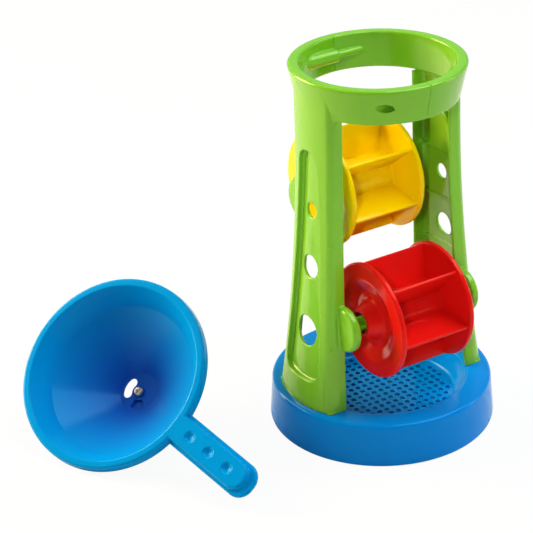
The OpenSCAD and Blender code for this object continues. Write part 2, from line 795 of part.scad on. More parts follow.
module shutter_screw() {
    seat = head_lift - outlet_depth;
    color([0.7, 0.72, 0.74]) lay_funnel() difference() {
        rotate_extrude() polygon(rounded([[0, -floor_under - screw_len, 0], [screw_r, -floor_under - screw_len, 0],
            [screw_r, seat, 0], [head_r, seat, 0], [head_r, seat + head_h, head_round], [0, seat + head_h, 0]]));
        for (a = [0, 90]) rotate([0, 0, a]) translate([-recess_len / 2, -recess_w / 2, seat + head_h - recess_depth])
            cube([recess_len, recess_w, head_h]);
    }
}

base_ring();
sieve_floor();
tower_left();
tower_right();
upper_wheel_rotor();
upper_wheel_cap();
lower_wheel_rotor();
lower_wheel_cap();
funnel();
shutter();
shutter_screw();
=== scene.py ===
import json
import math
import bmesh
import bpy
import numpy as np
from mathutils import Matrix, Vector


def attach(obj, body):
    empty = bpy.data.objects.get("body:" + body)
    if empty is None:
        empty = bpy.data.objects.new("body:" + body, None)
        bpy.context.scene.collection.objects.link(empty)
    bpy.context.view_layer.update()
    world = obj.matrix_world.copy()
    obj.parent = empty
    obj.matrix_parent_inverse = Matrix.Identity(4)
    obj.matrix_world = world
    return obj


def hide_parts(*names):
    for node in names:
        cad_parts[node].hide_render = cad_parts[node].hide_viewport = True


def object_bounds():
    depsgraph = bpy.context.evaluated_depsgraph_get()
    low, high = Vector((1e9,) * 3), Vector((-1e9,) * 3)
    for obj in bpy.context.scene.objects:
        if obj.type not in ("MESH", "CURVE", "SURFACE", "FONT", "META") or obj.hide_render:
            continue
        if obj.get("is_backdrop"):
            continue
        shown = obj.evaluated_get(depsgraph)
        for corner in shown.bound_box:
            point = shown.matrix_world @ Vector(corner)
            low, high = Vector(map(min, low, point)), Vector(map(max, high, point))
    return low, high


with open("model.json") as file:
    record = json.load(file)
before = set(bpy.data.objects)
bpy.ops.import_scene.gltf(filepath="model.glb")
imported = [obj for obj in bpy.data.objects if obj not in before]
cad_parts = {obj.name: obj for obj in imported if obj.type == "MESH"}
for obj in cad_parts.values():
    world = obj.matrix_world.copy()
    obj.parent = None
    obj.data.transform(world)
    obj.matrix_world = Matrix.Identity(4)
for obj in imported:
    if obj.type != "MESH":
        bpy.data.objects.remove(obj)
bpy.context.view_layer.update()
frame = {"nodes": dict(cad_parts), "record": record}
scene = bpy.context.scene
scene.view_settings.view_transform = "Standard"
mm = 0.001
joints = {j["name"]: j for j in frame["record"]["behaviour"]["joints"]}
print("frame loaded with", len(frame["nodes"]), "nodes")


# small helpers for moulded shapes

def roundMax(a, b, r):  # cut with a rounded edge
    return np.minimum(-r, np.maximum(a, b)) + np.hypot(np.maximum(a + r, 0), np.maximum(b + r, 0))


def roundMin(a, b, r):  # join with a fillet
    return np.maximum(r, np.minimum(a, b)) - np.hypot(np.maximum(r - a, 0), np.maximum(r - b, 0))


def softMax(a, b, k):  # blends two nearly parallel faces
    h = np.maximum(k - np.abs(a - b), 0) / k
    return np.maximum(a, b) + h * h * k / 4


def arcOf(rise, run):  # arc that starts upright and swings out by run over rise
    return (rise * rise + run * run) / (2 * run)


def swing(arc, dz):
    dz = np.maximum(dz, 0)
    drop = np.sqrt(arc * arc - dz * dz)
    return arc - drop, drop / arc


def meshPiece(name, verts, faces, normals=None):
    me = bpy.data.meshes.new(name)
    me.from_pydata(np.asarray(verts).tolist(), [], faces if isinstance(faces, list) else faces.tolist())
    me.validate()
    me.polygons.foreach_set("use_smooth", np.ones(len(me.polygons), bool))
    if normals is not None:
        me.normals_split_custom_set_from_vertices(np.asarray(normals).tolist())
    me.update()
    obj = bpy.data.objects.new(name, me)
    scene.collection.objects.link(obj)
    return obj


# skin of a shape that is given as a distance function, with its normals
def skinOf(shape, low, high, step):
    axes = [np.arange(a, b + step, step) for a, b in zip(low, high)]
    n = [len(a) for a in axes]
    values = np.empty(n, np.float32)
    slab = 8  # layers worked out at a time
    for i in range(0, n[0], slab):
        gx, gy, gz = np.meshgrid(axes[0][i:i + slab], axes[1], axes[2], indexing="ij")
        values[i:i + slab] = shape(gx, gy, gz)
    inside = values < 0
    cells = [k - 1 for k in n]
    total = np.zeros(cells + [3], np.float32)
    count = np.zeros(cells, np.int8)
    corner = [(a, b) for a in (0, 1) for b in (0, 1)]
    for axis in range(3):
        others = [k for k in range(3) if k != axis]
        lowPart = [slice(None)] * 3
        highPart = [slice(None)] * 3
        lowPart[axis] = slice(0, cells[axis])
        highPart[axis] = slice(1, n[axis])
        a, b = values[tuple(lowPart)], values[tuple(highPart)]
        cross = inside[tuple(lowPart)] != inside[tuple(highPart)]
        share = np.where(cross, a / np.where(cross, a - b, 1), 0)
        for c in corner:
            pick = [slice(None)] * 3
            for k, s in zip(others, c):
                pick[k] = slice(s, s + cells[k])
            hit = cross[tuple(pick)]
            count += hit
            total[..., axis] += share[tuple(pick)]
            for k, s in zip(others, c):
                total[..., k] += hit * s
    used = count > 0
    index = np.full(cells, -1, np.int64)
    index[used] = np.arange(used.sum())
    where = np.argwhere(used)
    verts = (where + total[used] / count[used][:, None]) * step + np.array(low)
    quads = []
    for axis in range(3):
        u, v = (axis + 1) % 3, (axis + 2) % 3
        lowPart = [slice(1, cells[k]) for k in range(3)]
        highPart = list(lowPart)
        lowPart[axis] = slice(0, cells[axis])
        highPart[axis] = slice(1, n[axis])
        s0, s1 = inside[tuple(lowPart)], inside[tuple(highPart)]
        for flip, hit in ((False, s0 & ~s1), (True, ~s0 & s1)):
            at = np.argwhere(hit)
            at[:, u] += 1
            at[:, v] += 1
            around = []
            for du, dv in ((1, 1), (0, 1), (0, 0), (1, 0)):
                cell = at.copy()
                cell[:, u] -= du
                cell[:, v] -= dv
                around.append(index[cell[:, 0], cell[:, 1], cell[:, 2]])
            around = np.stack(around, 1)
            quads.append(around[:, ::-1] if flip else around)
    quads = np.concatenate(quads)
    quads = quads[(quads >= 0).all(1)]

    def slope(p):
        e = 0.04
        g = np.empty_like(p)
        for k in range(3):
            d = np.zeros(3)
            d[k] = e
            g[:, k] = (shape(*(p + d).T) - shape(*(p - d).T)) / (2 * e)
        return g

    start = verts.copy()
    limit = 0.8 * step
    for _ in range(4):  # pull each point onto the true surface
        g = slope(verts)
        move = shape(*verts.T)[:, None] * g / np.maximum((g * g).sum(1), 0.05)[:, None]
        verts = start + np.clip(verts - move - start, -limit, limit)
    g = slope(verts)
    return verts, quads, g / np.maximum(np.linalg.norm(g, axis=1), 1e-6)[:, None]


# outline of corners (r, z, rounding) with its normals, run anticlockwise
def softOutline(corners, closed=True, arcSteps=7):
    p = np.array([c[:2] for c in corners], float)
    points, normals = [], []
    last = len(corners)
    for i, c in enumerate(corners):
        before, after = p[(i - 1) % last], p[(i + 1) % last]
        d0 = p[i] - before
        d1 = after - p[i]
        d0 = d0 / np.linalg.norm(d0)
        d1 = d1 / np.linalg.norm(d1)
        n0, n1 = np.array([d0[1], -d0[0]]), np.array([d1[1], -d1[0]])
        if not closed and i in (0, last - 1):
            points.append(p[i])
            normals.append(n1 if i == 0 else n0)
            continue
        turn = math.atan2(d0[0] * d1[1] - d0[1] * d1[0], float(d0 @ d1))
        cut = c[2] * math.tan(abs(turn) / 2)
        start = p[i] - d0 * cut
        centre = start - n0 * c[2] * (1 if turn > 0 else -1)
        for k in range(arcSteps + 1):
            a = turn * k / arcSteps
            ca, sa = math.cos(a), math.sin(a)
            n = np.array([n0[0] * ca - n0[1] * sa, n0[0] * sa + n0[1] * ca])
            points.append(centre + n * c[2] * (1 if turn > 0 else -1))
            normals.append(n)
    return np.array(points), np.array(normals)


def turned(corners, closed=True, around=160, arcSteps=7):  # lathe about Z, in mm
    points, normals = softOutline(corners, closed, arcSteps)
    angle = np.linspace(0, 2 * math.pi, around, endpoint=False)
    ca, sa = np.cos(angle), np.sin(angle)
    m = len(points)

    def spun(p):
        out, up = p[:, None, 0], np.repeat(p[:, 1:2], around, 1)
        return np.stack([out * ca, out * sa, up], -1).reshape(-1, 3)

    faces = []
    for i in range(m if closed else m - 1):
        k = (i + 1) % m
        for j in range(around):
            j1 = (j + 1) % around
            faces.append((i * around + j, i * around + j1, k * around + j1, k * around + j))
    return spun(points), np.array(faces), spun(normals)


def joined(*parts):
    verts, faces, normals, base = [], [], [], 0
    for v, f, n in parts:
        verts.append(v)
        faces.append(np.asarray(f) + base)
        normals.append(n)
        base += len(v)
    return np.concatenate(verts), np.concatenate(faces), np.concatenate(normals)


def placed(part, matrix):
    v, f, n = part
    rot = np.array(matrix.to_3x3())
    return v @ rot.T + np.array(matrix.translation), f, n @ rot.T


def finished(obj, body, node, material):
    obj.data.materials.clear()
    obj.data.materials.append(material)
    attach(obj, body)
    if node:
        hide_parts(node)
    return obj


# materials

def nodeAt(tree, kind, **values):
    node = tree.nodes.new(kind)
    for key, value in values.items():
        if hasattr(node, key):
            setattr(node, key, value)
        else:
            node.inputs[key].default_value = value
    return node


def plasticSkin(name, colour, sheen, rough, gleam, peel=0.005, shade=0.02, vary=0.02):
    mat = bpy.data.materials.new(name)
    mat.use_nodes = True
    tree = mat.node_tree
    skin = tree.nodes["Principled BSDF"]
    link = tree.links.new
    place = nodeAt(tree, "ShaderNodeTexCoord")
    cloud = nodeAt(tree, "ShaderNodeTexNoise", Scale=16.0, Detail=3.0, Roughness=0.6)  # faint flow marks
    link(place.outputs["Object"], cloud.inputs["Vector"])
    spread = nodeAt(tree, "ShaderNodeMapRange")
    spread.inputs["From Min"].default_value = 0.3
    spread.inputs["From Max"].default_value = 0.7
    link(cloud.outputs["Fac"], spread.inputs["Value"])
    tone = nodeAt(tree, "ShaderNodeMix", data_type="RGBA")
    tone.inputs["A"].default_value = (*[c * (1 - shade) for c in colour], 1)
    tone.inputs["B"].default_value = (*[min(1, c * (1 + shade)) for c in colour], 1)
    link(spread.outputs["Result"], tone.inputs["Factor"])
    link(tone.outputs["Result"], skin.inputs["Base Color"])
    patch = nodeAt(tree, "ShaderNodeTexNoise", Scale=55.0, Detail=4.0, Roughness=0.65)
    link(place.outputs["Object"], patch.inputs["Vector"])
    gloss = nodeAt(tree, "ShaderNodeMapRange")
    gloss.inputs["From Min"].default_value = 0.3
    gloss.inputs["From Max"].default_value = 0.7
    gloss.inputs["To Min"].default_value = rough - vary
    gloss.inputs["To Max"].default_value = rough + vary
    link(patch.outputs["Fac"], gloss.inputs["Value"])
    link(gloss.outputs["Result"], skin.inputs["Roughness"])
    grain = nodeAt(tree, "ShaderNodeTexNoise", Scale=130.0, Detail=2.0)  # slight waves of a moulded skin
    link(place.outputs["Object"], grain.inputs["Vector"])
    bump = nodeAt(tree, "ShaderNodeBump", Strength=peel, Distance=0.0006)
    link(grain.outputs["Fac"], bump.inputs["Height"])
    link(bump.outputs["Normal"], skin.inputs["Normal"])
    skin.inputs["Specular IOR Level"].default_value = gleam
    skin.inputs["Specular Tint"].default_value = (*sheen, 1)
    return mat


def steelSkin(name, dark, pale, rough, stretch):
    mat = bpy.data.materials.new(name)
    mat.use_nodes = True
    tree = mat.node_tree
    skin = tree.nodes["Principled BSDF"]
    link = tree.links.new
    place = nodeAt(tree, "ShaderNodeTexCoord")
    brush = nodeAt(tree, "ShaderNodeMapping")
    brush.inputs["Scale"].default_value = stretch
    link(place.outputs["Object"], brush.inputs["Vector"])
    lines = nodeAt(tree, "ShaderNodeTexNoise", Scale=1.0, Detail=3.0)
    link(brush.outputs["Vector"], lines.inputs["Vector"])
    gloss = nodeAt(tree, "ShaderNodeMapRange")
    gloss.inputs["To Min"].default_value, gloss.inputs["To Max"].default_value = rough
    link(lines.outputs["Fac"], gloss.inputs["Value"])
    link(gloss.outputs["Result"], skin.inputs["Roughness"])
    tone = nodeAt(tree, "ShaderNodeMix", data_type="RGBA")
    tone.inputs["A"].default_value = (*dark, 1)
    tone.inputs["B"].default_value = (*pale, 1)
    link(lines.outputs["Fac"], tone.inputs["Factor"])
    link(tone.outputs["Result"], skin.inputs["Base Color"])
    skin.inputs["Metallic"].default_value = 1.0
    return mat


limeGreen = plasticSkin("limeGreenPlastic", (0.19, 0.5, 0.018), (1.0, 1.0, 0.7), rough=0.14, gleam=0.5)
sunYellow = plasticSkin("sunYellowPlastic", (1.0, 0.64, 0.0), (1.0, 0.85, 0.3), rough=0.16, gleam=0.4)
signalRed = plasticSkin("signalRedPlastic", (0.78, 0.008, 0.006), (1.0, 0.3, 0.2), rough=0.14, gleam=0.4)
seaBlue = plasticSkin("seaBluePlastic", (0.0, 0.245, 0.74), (0.2, 0.65, 1.0), rough=0.13, gleam=0.3)
skyBlue = plasticSkin("skyBluePlastic", (0.0, 0.32, 0.78), (0.15, 0.6, 1.0), rough=0.2, gleam=0.24)
zincSteel = steelSkin("zincSteel", dark=(0.3, 0.31, 0.33), pale=(0.52, 0.53, 0.54), rough=(0.18, 0.42),
    stretch=(1500, 1500, 300))
print("materials ready")


# tower: two moulded halves

towerSpec = dict(
    baseH=35.0, height=300.6, footR=81.8, waistR=64.75, waistZ=268.0, footHalf=36.8, waistHalf=24.7,
    sideZ=225.0, edgeFoot=57.8, edgeWaist=48.5, wall=2.8, flange=2.7, neckSoft=1.6, cornerRound=4.2,
    footRound=4.5, softTop=150.0, softPower=1.5, edgeRound=1.25, channelRound=3.0, channelTop=2.0,
    collarZ=272.5, flare=3.1, tuck=3.15, mouthR=58.9, mouthLowR=57.2, rimRound=2.8, mouthRound=1.5,
    collarRound=1.0, legTop=295.0, bury=1.6, buryRound=0.8, joinFillet=0.2, neckFillet=4.6, neckFade=5.0,
    mouthClear=1.0, mouthFade=2.0, panelLow=56.0, panelHigh=243.0, panelR=11.0, panelHalf=21.7,
    panelDepth=4.5, panelWall=2.4, panelFloor=2.0, panelEdge=1.2, backRound=2.6, backFillet=1.5, innerX=20.0,
    windows=((193.5, 12.2), (147.0, 18.5), (93.0, 24.3)), windowEdge=0.8,
    gussets=(212.4, 170.9, 129.4, 87.9), gussetT=1.8, gussetFillet=0.8,
    upperEar=(18.0, 0.0, 48.58), lowerEar=(18.0, 3.4, 51.59), earT=7.5, earRound=2.6, earFillet=1.6,
    pinR=6.5, pinRib=2.8, pinTip=19.4, pinRound=0.5, pinTipRound=0.8, pinFillet=1.0, rootIn=2.0,
    pegY=55.25, pegZ=286.6, pegR=3.1, pegGap=0.1, pegFillet=0.8, socketR=5.5, socketFillet=1.0,
    socketEdge=0.5, pegRoot=32.0, pegLen=12.0, seamRound=0.35, footEdge=0.3, tongue=9.0, tongueStep=0.6,
    tongueBack=5.0, sink=1.0, step=0.95)


def triangleField(y, z, a, b, c):  # distance to a triangle, negative inside
    best, sign = None, None
    for p, q in ((a, b), (b, c), (c, a)):
        ey, ez = q[0] - p[0], q[1] - p[1]
        wy, wz = y - p[0], z - p[1]
        t = np.clip((wy * ey + wz * ez) / (ey * ey + ez * ez), 0, 1)
        d = np.hypot(wy - ey * t, wz - ez * t)
        s = ey * wz - ez * wy
        best = d if best is None else np.minimum(best, d)
        sign = s if sign is None else np.minimum(sign, s)
    return np.where(sign > 0, -best, best)


def towerHalf(x, y, z, side, hasPegs):
    t = towerSpec
    r = np.hypot(x, y)
    leanArc = arcOf(t["waistZ"] - t["baseH"], t["footR"] - t["waistR"])
    widthArc = arcOf(t["sideZ"] - t["baseH"], t["footHalf"] - t["waistHalf"])
    edgeArc = arcOf(t["waistZ"] - t["baseH"], t["edgeFoot"] - t["edgeWaist"])
    slope = (t["flare"] + t["tuck"]) / (t["height"] - t["collarZ"])
    coneR = t["waistR"] - t["tuck"] + slope * (z - t["collarZ"])
    out, cosine = swing(leanArc, t["waistZ"] - z)
    face = (r - softMax(t["waistR"] + out, coneR, t["neckSoft"])) * cosine
    out, cosine = swing(widthArc, t["sideZ"] - z)
    half = t["waistHalf"] + out
    flank = (np.abs(y) - half) * cosine
    out, cosine = swing(edgeArc, t["waistZ"] - z)
    free = (t["edgeWaist"] + out - x) * cosine
    low = np.clip((t["softTop"] - z) / (t["softTop"] - t["baseH"]), 0, 1)
    corner = t["cornerRound"] + t["footRound"] * low ** t["softPower"]  # softer towards the foot
    outer = roundMax(face, flank, corner)
    inner = roundMax(face + t["wall"], flank + t["flange"], t["channelRound"])
    inner = roundMax(inner, z - t["collarZ"], t["channelTop"])
    leg = roundMax(np.maximum(outer, -inner), free, t["edgeRound"])

    # sunk panel with the wall that goes round behind it
    r0 = t["panelR"]
    foot = t["panelHalf"] - r0
    top = (0.0, t["panelHigh"] - r0)
    panel = triangleField(y, z, top, (-foot, t["panelLow"] + r0), (foot, t["panelLow"] + r0)) - r0
    behind = t["panelDepth"] + t["panelWall"]
    boss = roundMax(panel - t["panelWall"], -(face + behind), t["backRound"])
    boss = np.maximum(np.maximum(boss, face + t["sink"]), t["innerX"] - x)
    leg = roundMin(leg, boss, t["backFillet"])
    for zg in t["gussets"]:
        rib = np.maximum(np.abs(z - zg) - t["gussetT"] / 2, np.maximum(face + t["sink"], -(face + behind)))
        rib = np.maximum(np.maximum(rib, flank + t["sink"]), t["innerX"] - x)
        leg = roundMin(leg, rib, t["gussetFillet"])
    leg = roundMax(leg, -roundMax(panel, -(face + t["panelDepth"]), t["panelFloor"]), t["panelEdge"])
    for zw, d in t["windows"]:
        leg = roundMax(leg, d / 2 - np.hypot(y, z - zw), t["windowEdge"])

    # flared ring at the top
    cone = (r - coneR) / math.hypot(1, slope)
    taper = (t["mouthR"] - t["mouthLowR"]) / (t["height"] - t["collarZ"])
    mouth = t["mouthLowR"] + taper * (z - t["collarZ"]) - r
    ring = roundMax(roundMax(cone, z - t["height"], t["rimRound"]), mouth, t["mouthRound"])
    ring = roundMax(ring, t["collarZ"] - z, t["collarRound"])
    leg = roundMax(leg, -np.maximum(t["collarZ"] - z, -mouth - t["bury"]), t["buryRound"])
    leg = np.maximum(leg, z - t["legTop"])
    beside = np.clip((flank - face) / t["neckFade"], 0, 1)  # the fillet runs beside the flanges only
    clear = np.clip((-mouth - t["mouthClear"]) / t["mouthFade"], 0, 1)
    body = roundMin(leg, ring, t["joinFillet"] + t["neckFillet"] * beside * clear)

    # ears with their cross-ribbed pins
    for s, name, (earR, earOut, earX) in ((side, "upper", t["upperEar"]), (-side, "lower", t["lowerEar"])):
        ay, az = (abs(v) * 1000 for v in joints[name + "_wheel_spin"]["pos_m"][1:])
        at = t["waistHalf"] + float(swing(widthArc, t["sideZ"] - az)[0]) + earOut
        ear = np.abs(x - earX - t["earT"] / 2) - t["earT"] / 2
        ear = roundMax(np.hypot(y - s * at, z - az) - earR, ear, t["earRound"])
        ear = np.maximum(ear, half - s * y - t["flange"] / 2)
        body = roundMin(body, ear, t["earFillet"])
        py, pz = np.abs(y - s * ay), np.abs(z - az)
        pin = roundMax(np.hypot(py, pz) - t["pinR"], np.minimum(py, pz) - t["pinRib"] / 2, t["pinRound"])
        pin = np.maximum(roundMax(pin, t["pinTip"] - x, t["pinTipRound"]), x - earX - t["rootIn"])
        body = roundMin(body, pin, t["pinFillet"])

    bore = np.hypot(np.abs(y) - t["pegY"], z - t["pegZ"])
    root = np.maximum(x - t["pegRoot"], cone + t["sink"])
    if not hasPegs:
        body = roundMin(body, np.maximum(bore - t["socketR"], root), t["socketFillet"])
        body = roundMax(body, t["pegR"] + t["pegGap"] - bore, t["socketEdge"])
    else:
        body = roundMin(body, np.maximum(bore - t["pegR"], root), t["pegFillet"])
    body = roundMax(body, -x, t["seamRound"])
    if hasPegs:
        peg = np.maximum(-t["pegLen"] - x, x - t["rootIn"])
        body = np.minimum(body, np.maximum(bore - t["pegR"], peg))
    body = roundMax(body, t["baseH"] - z, t["footEdge"])
    tongue = np.maximum(r - t["footR"] + t["tongueStep"], np.abs(y) - t["footHalf"] + t["tongueStep"])
    hollow = np.maximum(r - t["footR"] + t["wall"], np.abs(y) - t["footHalf"] + t["flange"])
    tongue = np.maximum(np.maximum(tongue, -hollow), t["edgeFoot"] + t["tongueBack"] - x)
    tongue = np.maximum(tongue, np.maximum(z - t["baseH"] - t["sink"], t["baseH"] - t["tongue"] - z))
    return np.minimum(body, tongue)


towerLow, towerHigh = (-13.4, -69.3, 24.6), (83.6, 69.3, 302.0)
for name, side, hasPegs, turn in (("tower_right", 1, True, 0.0), ("tower_left", -1, False, math.pi)):
    low = towerLow if hasPegs else (-1.6, *towerLow[1:])
    part = skinOf(lambda x, y, z: towerHalf(x, y, z, side, hasPegs), low, towerHigh, towerSpec["step"])
    part = placed(part, Matrix.Rotation(turn, 4, "Z"))
    piece = meshPiece(name + "_moulding", part[0] * mm, part[1], part[2])
    finished(piece, "stand", name, limeGreen)
    print(name, "moulded:", len(part[1]), "faces")


# base: turned ring with its tray, and the sieve floor

baseSpec = dict(
    r=90.0, topR=87.5, height=35.0, ringIn=67.0, trayR=59.5, floorZ=15.5, wall=2.6, ledge=3.0, sieveT=2.4,
    lipR=57.2, lipT=0.12, trayFoot=0.3)
b = baseSpec
ledgeZ = b["floorZ"] - b["sieveT"]
part = turned([
    (b["r"] - b["wall"], 0, 0.5), (b["r"], 0, 1.6),
    (b["topR"], b["height"], 3.0), (b["ringIn"], b["height"], 4.5),
    (b["trayR"] + b["trayFoot"], b["floorZ"] + b["lipT"], 3.4), (b["lipR"], b["floorZ"] + b["lipT"], 0.04),
    (b["lipR"], b["floorZ"], 0.02), (b["trayR"], b["floorZ"], 0.02),
    (b["trayR"], ledgeZ, 0.2), (b["trayR"] - b["ledge"], ledgeZ, 0.5),
    (b["trayR"] - b["ledge"], ledgeZ - b["wall"], 0.5), (b["trayR"] + b["wall"], ledgeZ - b["wall"], 1.0),
    (b["trayR"] + b["wall"], b["floorZ"], 1.0), (b["ringIn"] + b["wall"], b["height"] - b["wall"], 1.2),
    (b["topR"] - b["wall"], b["height"] - b["wall"], 1.2)], around=256)
piece = meshPiece("base_ring_moulding", part[0] * mm, part[1], part[2])
finished(piece, "stand", "base_ring", seaBlue)

sieveSpec = dict(radius=59.3, thickness=2.4, pitch=6.7, rows=17, holeR=2.0, lip=0.45, reach=54.4, rim=0.5)


def treeWith(name, sockets):
    tree = bpy.data.node_groups.new(name, "GeometryNodeTree")
    tree.interface.new_socket("Geometry", in_out="INPUT", socket_type="NodeSocketGeometry")
    for label, kind, value in sockets:
        socket = tree.interface.new_socket(label, in_out="INPUT", socket_type=kind)
        if value is not None:
            socket.default_value = value
    tree.interface.new_socket("Geometry", in_out="OUTPUT", socket_type="NodeSocketGeometry")
    return tree, tree.nodes.new("NodeGroupInput"), tree.nodes.new("NodeGroupOutput")


def grown(obj, tree, values):  # runs a tree on an object and keeps the result as a plain mesh
    mod = obj.modifiers.new(tree.name, "NODES")
    mod.node_group = tree
    for item in tree.interface.items_tree:
        if item.item_type == "SOCKET" and item.in_out == "INPUT" and item.name in values:
            mod[item.identifier] = values[item.name]
    bpy.context.view_layer.update()
    graph = bpy.context.evaluated_depsgraph_get()
    made = bpy.data.meshes.new_from_object(obj.evaluated_get(graph))
    obj.modifiers.remove(mod)
    obj.data = made
    return obj


def sieveTree():
    floatKind = "NodeSocketFloat"
    tree, start, end = treeWith("sieveFloor", [
        ("Radius", floatKind, 0.06), ("Thickness", floatKind, 0.0024), ("Pitch", floatKind, 0.0067),
        ("Hole", floatKind, 0.002), ("Reach", floatKind, 0.055), ("Rows", "NodeSocketInt", 17),
        ("Lip", "NodeSocketObject", None), ("Skin", "NodeSocketMaterial", None)])
    link = tree.links.new
    rows = start.outputs["Rows"]
    span = nodeAt(tree, "ShaderNodeMath", operation="SUBTRACT")
    link(rows, span.inputs[0])
    span.inputs[1].default_value = 1
    size = nodeAt(tree, "ShaderNodeMath", operation="MULTIPLY")
    link(span.outputs[0], size.inputs[0])
    link(start.outputs["Pitch"], size.inputs[1])
    grid = nodeAt(tree, "GeometryNodeMeshGrid")
    for key in ("Size X", "Size Y"):
        link(size.outputs[0], grid.inputs[key])
    for key in ("Vertices X", "Vertices Y"):
        link(rows, grid.inputs[key])
    where = nodeAt(tree, "GeometryNodeInputPosition")
    far = nodeAt(tree, "ShaderNodeVectorMath", operation="LENGTH")
    link(where.outputs[0], far.inputs[0])
    beyond = nodeAt(tree, "FunctionNodeCompare", operation="GREATER_THAN")
    link(far.outputs["Value"], beyond.inputs[0])
    link(start.outputs["Reach"], beyond.inputs[1])
    spots = nodeAt(tree, "GeometryNodeDeleteGeometry", domain="POINT")
    link(grid.outputs["Mesh"], spots.inputs["Geometry"])
    link(beyond.outputs["Result"], spots.inputs["Selection"])
    ring = nodeAt(tree, "GeometryNodeCurvePrimitiveCircle", Resolution=24)
    link(start.outputs["Hole"], ring.inputs["Radius"])
    holes = nodeAt(tree, "GeometryNodeInstanceOnPoints")
    link(spots.outputs["Geometry"], holes.inputs["Points"])
    link(ring.outputs["Curve"], holes.inputs["Instance"])
    flatHoles = nodeAt(tree, "GeometryNodeRealizeInstances")
    link(holes.outputs["Instances"], flatHoles.inputs["Geometry"])
    edge = nodeAt(tree, "GeometryNodeCurvePrimitiveCircle", Resolution=192)
    link(start.outputs["Radius"], edge.inputs["Radius"])
    curves = nodeAt(tree, "GeometryNodeJoinGeometry")
    link(edge.outputs["Curve"], curves.inputs["Geometry"])
    link(flatHoles.outputs["Geometry"], curves.inputs["Geometry"])
    sheet = nodeAt(tree, "GeometryNodeFillCurve")
    link(curves.outputs["Geometry"], sheet.inputs["Curve"])
    drop = nodeAt(tree, "ShaderNodeMath", operation="MULTIPLY")
    drop.inputs[1].default_value = -1
    link(start.outputs["Thickness"], drop.inputs[0])
    shift = nodeAt(tree, "ShaderNodeCombineXYZ")
    link(drop.outputs[0], shift.inputs["Z"])
    under = nodeAt(tree, "GeometryNodeTransform")
    link(sheet.outputs["Mesh"], under.inputs["Geometry"])
    link(shift.outputs["Vector"], under.inputs["Translation"])
    turnOver = nodeAt(tree, "GeometryNodeFlipFaces")
    link(under.outputs["Geometry"], turnOver.inputs["Mesh"])
    lipShape = nodeAt(tree, "GeometryNodeObjectInfo")
    link(start.outputs["Lip"], lipShape.inputs["Object"])
    lips = nodeAt(tree, "GeometryNodeInstanceOnPoints")
    link(spots.outputs["Geometry"], lips.inputs["Points"])
    link(lipShape.outputs["Geometry"], lips.inputs["Instance"])
    whole = nodeAt(tree, "GeometryNodeJoinGeometry")
    plates = (start.outputs["Geometry"], sheet.outputs["Mesh"], turnOver.outputs["Mesh"])
    for source in (*plates, lips.outputs["Instances"]):
        link(source, whole.inputs["Geometry"])
    real = nodeAt(tree, "GeometryNodeRealizeInstances")
    link(whole.outputs["Geometry"], real.inputs["Geometry"])
    coat = nodeAt(tree, "GeometryNodeSetMaterial")
    link(real.outputs["Geometry"], coat.inputs["Geometry"])
    link(start.outputs["Skin"], coat.inputs["Material"])
    link(coat.outputs["Geometry"], end.inputs["Geometry"])
    return tree


s = sieveSpec
lipR = s["holeR"] + s["lip"]
lipPart = turned([(lipR, 0, 0), (s["holeR"], 0, s["lip"]), (s["holeR"], -s["thickness"], s["lip"]),
    (lipR, -s["thickness"], 0)], closed=False, around=24, arcSteps=3)
lip = meshPiece("sieveLip", lipPart[0] * mm, lipPart[1], lipPart[2])
rimPart = turned([(s["radius"] - s["rim"], -s["thickness"], 0), (s["radius"], -s["thickness"], s["rim"]),
    (s["radius"], 0, s["rim"]), (s["radius"] - s["rim"], 0, 0)], closed=False, around=192, arcSteps=4)
sieve = meshPiece("sieve_floor_plate", rimPart[0] * mm, rimPart[1], rimPart[2])
grown(sieve, sieveTree(), {
    "Radius": (s["radius"] - s["rim"]) * mm, "Thickness": s["thickness"] * mm, "Pitch": s["pitch"] * mm,
    "Hole": lipR * mm, "Reach": s["reach"] * mm, "Rows": s["rows"], "Lip": lip, "Skin": seaBlue})
bpy.data.objects.remove(lip)
sieve.data.transform(Matrix.Translation((0, 0, b["floorZ"] * mm)))
finished(sieve, "stand", "sieve_floor", seaBlue)
print("base and sieve made:", len(sieve.data.polygons), "faces in the sieve")


# paddle wheels

wheelSpec = dict(
    r=46.0, halfW=34.0, discT=4.4, lean=5.4, crease=33.0, dishR=22.5, dishDepth=5.6, bossX=41.0, bossR=10.8,
    bossRoot=16.0, mouthR=8.8, mouthDepth=5.0, hubR=17.5, hubWall=2.4, bearingR=6.56, bearingLen=17.0,
    bearingWall=2.6, web=2.4, spigot=8.0, spigotGap=0.1, spigotLap=1.0, spigotStep=0.1, blades=6, bladeT=2.4,
    bladeInset=1.7, bladeGap=0.15, bladeSink=1.0, bladeRound=0.55, sharpAngle=40.0, creaseDrop=0.3,
    rootRise=1.0, leadIn=1.0)
w = wheelSpec


def discBack(r):
    return w["halfW"] - w["discT"] - w["lean"] * (w["r"] - r) / (w["r"] - w["hubR"])


